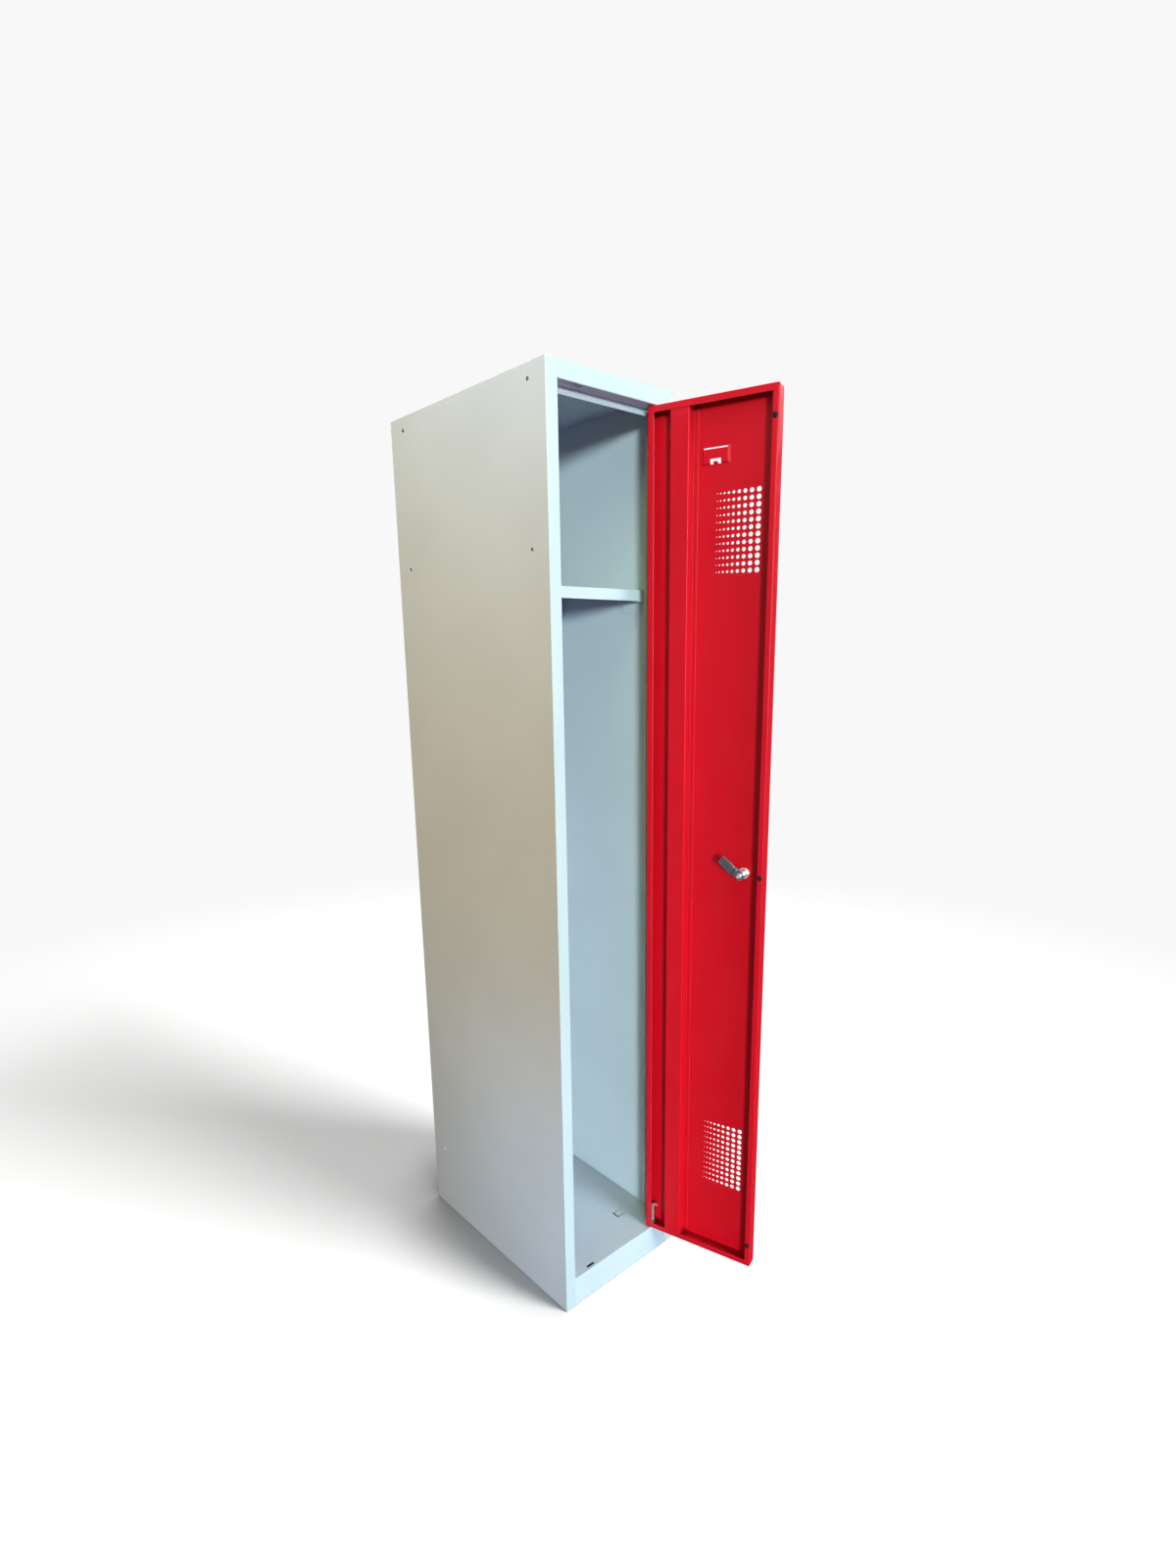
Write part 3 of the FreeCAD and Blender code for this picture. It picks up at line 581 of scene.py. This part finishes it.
MATERIALS = {
    # In the paints, corner is the factor of the painted shade in deep corners, and the edge colours are
    # lighter, partly coat wear and partly painted highlight.
    "cabinet_paint": powder_coat(
        "cabinet_paint", colour=(0.60, 0.625, 0.615), roughness=0.46, peel=0.07, gloss=0.40,
        edge_wear_and_highlight=(0.68, 0.70, 0.69), corner=0.80),
    "door_paint": powder_coat(
        "door_paint", colour=(0.60, 0.004, 0.015), roughness=0.37, peel=0.05, gloss=0.28,
        edge_wear_and_highlight=(0.85, 0.10, 0.13), corner=0.42),
    "zinc_steel": plated_steel(
        "zinc_steel", colour=(0.52, 0.60, 0.68), roughness=0.30, metallic=1.0,
        stretch=(1.0, 1.0, 0.5), rim_polish_and_highlight=(0.95, 0.93, 0.93)),
    "bright_steel": plated_steel(
        "bright_steel", colour=(0.88, 0.88, 0.88), roughness=0.30, metallic=0.7,
        stretch=(1.0, 1.0, 0.1), rim_polish_and_highlight=(0.95, 0.95, 0.95)),
    "nickel_plate": plated_steel(
        "nickel_plate", colour=(0.84, 0.83, 0.80), roughness=0.26, metallic=0.7,
        stretch=(1.0, 1.0, 1.0), rim_polish_and_highlight=(0.95, 0.94, 0.92)),
    "nut_brass": plated_steel(
        "nut_brass", colour=(0.95, 0.88, 0.70), roughness=0.34, metallic=0.45,
        stretch=(1.0, 1.0, 1.0), rim_polish_and_highlight=(1.0, 0.97, 0.86)),
    "buffer_rubber": rubber("buffer_rubber", colour=(0.010, 0.009, 0.009)),
    "bush_nylon": nylon("bush_nylon", colour=(0.50, 0.51, 0.51)),
}


def dress_nodes():
    """Gives every CAD node the material of its slot in the record."""
    for row in frame["record"]["subparts"]:
        mesh = nodes[row["node"]].data
        mesh.materials.clear()
        mesh.materials.append(MATERIALS[row["material_slot"]])


def finish_piece(name, places, faces, body, slot):
    """Makes a piece of the object from its points and faces, and has it ride on a body."""
    mesh = bpy.data.meshes.new(name)
    mesh.from_pydata(places, [], faces)
    work = bmesh.new()
    work.from_mesh(mesh)
    bmesh.ops.remove_doubles(work, verts=work.verts, dist=WELD_DISTANCE)
    bmesh.ops.recalc_face_normals(work, faces=work.faces)
    work.to_mesh(mesh)
    work.free()
    mesh.shade_smooth()
    mesh.set_sharp_from_angle(angle=SHARP_ANGLE)
    mesh.materials.append(MATERIALS[slot])
    piece = bpy.data.objects.new(name, mesh)
    bpy.context.scene.collection.objects.link(piece)
    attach(piece, body)
    return piece


def add_rings(places, faces, rings, around):
    """Adds a skin that runs from ring to ring, and back to the first one where it goes around."""
    count = len(rings[0])
    first = len(places)
    for ring in rings:
        places.extend(ring)
    for row in range(len(rings) if around else len(rings) - 1):
        here = first + row * count
        there = first + (row + 1) % len(rings) * count
        for step in range(count):
            after = (step + 1) % count
            faces.append((here + step, here + after, there + after, there + step))


def ring_piece(name, rings, around, body, slot):
    """Makes a piece of one skin that runs from ring to ring."""
    places = []
    faces = []
    add_rings(places, faces, rings, around)
    return finish_piece(name, places, faces, body, slot)


def add_vent_rims():
    """Round rims of the ventilation holes, laid out on the closed door and turned open with it."""
    hinge = Vector(joints["door_hinge"]["pos_m"])
    turn = Matrix.Rotation(math.radians(-joints["door_hinge"]["range_deg"][0]), 4, "Z")
    opened = Matrix.Translation(hinge) @ turn @ Matrix.Translation(-hinge)
    outside = [(reach, DOOR_FACE - height) for reach, height in RIM_PROFILE]
    inside = [(reach, DOOR_FACE + DOOR_SKIN + height) for reach, height in reversed(RIM_PROFILE)]
    directions = [(math.cos(math.tau * step / VENT_STEPS), math.sin(math.tau * step / VENT_STEPS))
                  for step in range(VENT_STEPS)]
    places = []
    faces = []
    x = DOOR_FREE_EDGE + VENT_INSET
    for column in range(VENT_COLUMNS):
        radius = (VENT_DIAMETER - VENT_DIAMETER_STEP * column) / 2
        for row in range(VENT_ROWS):
            drop = VENT_END + VENT_ROW_PITCH * row
            for z in (DOOR_TOP - drop, DOOR_BOTTOM + drop):
                rings = [[opened @ Vector((x + reach * radius * across, y, z + reach * radius * up))
                          for across, up in directions] for reach, y in outside + inside]
                add_rings(places, faces, rings, False)
        x += VENT_COLUMN_PITCH - VENT_PITCH_STEP * column
    return finish_piece("vent_rims", places, faces, "door", "door_paint")


def lock_ring(reach, depth):
    """Ring about the lock's axis. Reach and depth are numbers, or functions of the angle."""
    outwards = Vector(joints["lock_turn"]["axis"])
    centre = Vector(joints["lock_turn"]["pos_m"])
    upwards = Vector((0.0, 0.0, 1.0))
    across = upwards.cross(outwards)
    ring = []
    for step in range(LOCK_STEPS):
        angle = math.tau * step / LOCK_STEPS
        far = reach(angle) if callable(reach) else reach
        deep = depth(angle) if callable(depth) else depth
        ring.append(centre - outwards * deep + (across * math.cos(angle) + upwards * math.sin(angle)) * far)
    return ring


def hexagon_rings(flats, start, end, turn=0.0):
    """Rings of a hexagon with both its faces turned to a chamfer."""
    round_face = CHAMFER_START * flats / 2

    def corner_reach(angle):
        return flats / 2 / math.cos((angle - turn) % (math.pi / 3) - math.pi / 6)

    def lost(angle):
        return CHAMFER_SLOPE * (corner_reach(angle) - round_face)

    return [lock_ring(round_face, start),
            lock_ring(corner_reach, lambda angle: start + lost(angle)),
            lock_ring(corner_reach, lambda angle: end - lost(angle)),
            lock_ring(round_face, end)]


def add_nut():
    """Lock nut with chamfered faces and a broken edge at its bore."""
    start, end = NUT_DEPTHS
    bore = [lock_ring(NUT_BORE + NUT_BORE_BREAK, end), lock_ring(NUT_BORE, end - NUT_BORE_BREAK),
            lock_ring(NUT_BORE, start + NUT_BORE_BREAK), lock_ring(NUT_BORE + NUT_BORE_BREAK, start)]
    rings = hexagon_rings(NUT_FLATS, start, end) + bore
    piece = ring_piece("chamfered_nut", rings, True, "door", "nut_brass")
    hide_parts("lock_nut")
    return piece


def add_bolt():
    """Cam bolt: chamfered hexagon head, dished on top, on a plain shank."""
    tip, seat, top = BOLT_DEPTHS
    turn = math.radians(-joints["lock_turn"]["range_deg"][0])
    shank = [lock_ring(0.0, tip), lock_ring(BOLT_SHANK - BOLT_DISH, tip),
             lock_ring(BOLT_SHANK, tip + BOLT_DISH), lock_ring(BOLT_SHANK, seat)]
    dish = [lock_ring(BOLT_DISH_RIM * BOLT_FLATS / 2, top),
            lock_ring(BOLT_DISH_FLOOR * BOLT_FLATS / 2, top - BOLT_DISH),
            lock_ring(0.0, top - BOLT_DISH)]
    rings = shank + hexagon_rings(BOLT_FLATS, seat, top, turn) + dish
    piece = ring_piece("dished_bolt", rings, False, "lock", "bright_steel")
    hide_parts("cam_bolt")
    return piece


def add_barrel():
    """Lock housing: rounded head outside, and inside a barrel with two flats and thread grooves."""
    root = BARREL_RADIUS - THREAD_DEPTH

    def with_flats(radius):
        return lambda angle: min(radius, BARREL_HALF_FLATS / max(abs(math.sin(angle)), LEAST_SINE))

    rings = [lock_ring(BARREL_BORE, -HEAD_HEIGHT)]
    for step in range(HEAD_ROUND_STEPS + 1):
        bend = math.pi / 2 * step / HEAD_ROUND_STEPS
        rings.append(lock_ring(HEAD_RADIUS - HEAD_ROUND * (1 - math.sin(bend)),
                               -HEAD_HEIGHT + HEAD_ROUND * (1 - math.cos(bend))))
    rings.append(lock_ring(HEAD_RADIUS, 0.0))
    rings.append(lock_ring(with_flats(root), 0.0))
    for turn in range(int((BARREL_DEPTH - BARREL_BREAK) / THREAD_PITCH)):
        for part, radius in zip(THREAD_PARTS, (root, BARREL_RADIUS, BARREL_RADIUS, root)):
            rings.append(lock_ring(with_flats(radius), THREAD_PITCH * (turn + part)))
    rings.append(lock_ring(with_flats(root), BARREL_DEPTH - BARREL_BREAK))
    rings.append(lock_ring(BARREL_HALF_FLATS - BARREL_BREAK, BARREL_DEPTH))
    rings.append(lock_ring(BARREL_BORE, BARREL_DEPTH))
    piece = ring_piece("threaded_housing", rings, True, "door", "nickel_plate")
    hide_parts("lock_housing")
    return piece


add_camera()
add_world()
dress_nodes()
add_lights(add_floor(), [add_vent_rims(), add_nut(), add_bolt(), add_barrel()])
bpy.context.scene.view_settings.view_transform = "Standard"
